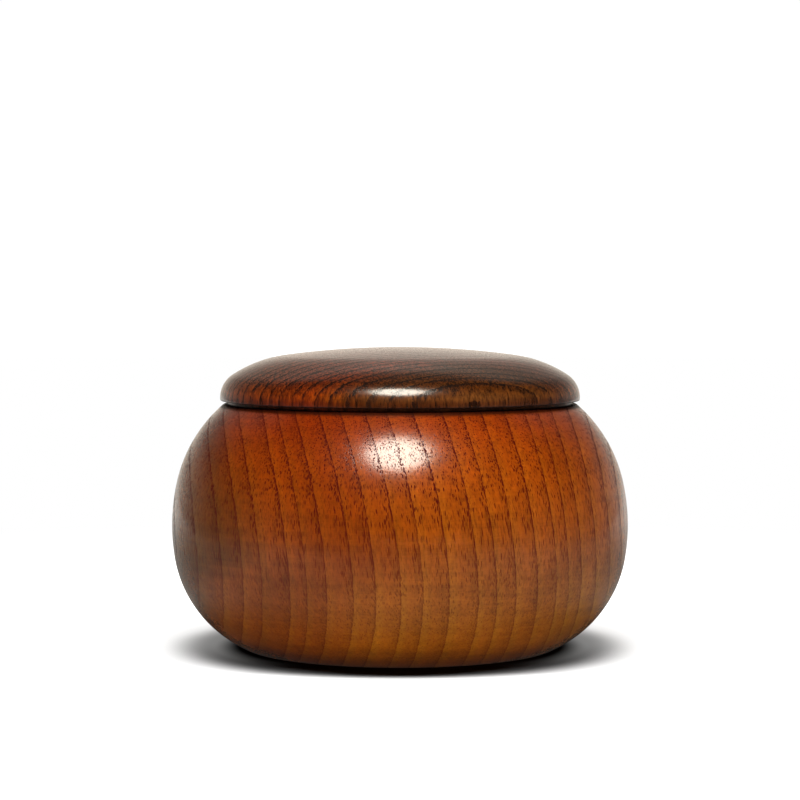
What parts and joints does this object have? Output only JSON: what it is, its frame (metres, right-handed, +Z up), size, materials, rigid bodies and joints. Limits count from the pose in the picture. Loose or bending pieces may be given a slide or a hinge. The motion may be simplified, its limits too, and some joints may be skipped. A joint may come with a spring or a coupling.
{
  "type": "lidded bowl for board game stones",
  "caption": "Turned wooden bowl with a round belly and a domed lift-off lid, for board game stones or pieces.",
  "frame": {"origin": "centre of the foot, on the surface that the bowl stands on", "axes": "+Z up along the turning axis of the bowl and the lid; +X to the right and +Y away from the viewer, as pictured"},
  "size_m": [0.1499, 0.15, 0.0984],
  "materials": {
    "bowl_wood": "clear gloss lacquer over orange-brown ring-porous wood",
    "lid_wood": "clear gloss lacquer over dark brown ring-porous wood, end grain on top"
  },
  "bodies": {
    "bowl": {"bowl": "bowl_wood"},
    "lid": {"lid": "lid_wood"}
  },
  "joints": [
    {"name": "lid_lift", "type": "slide", "parent": "bowl", "child": "lid", "axis": [0, 0, 1], "range_m": [0, 0.12]}
  ]
}
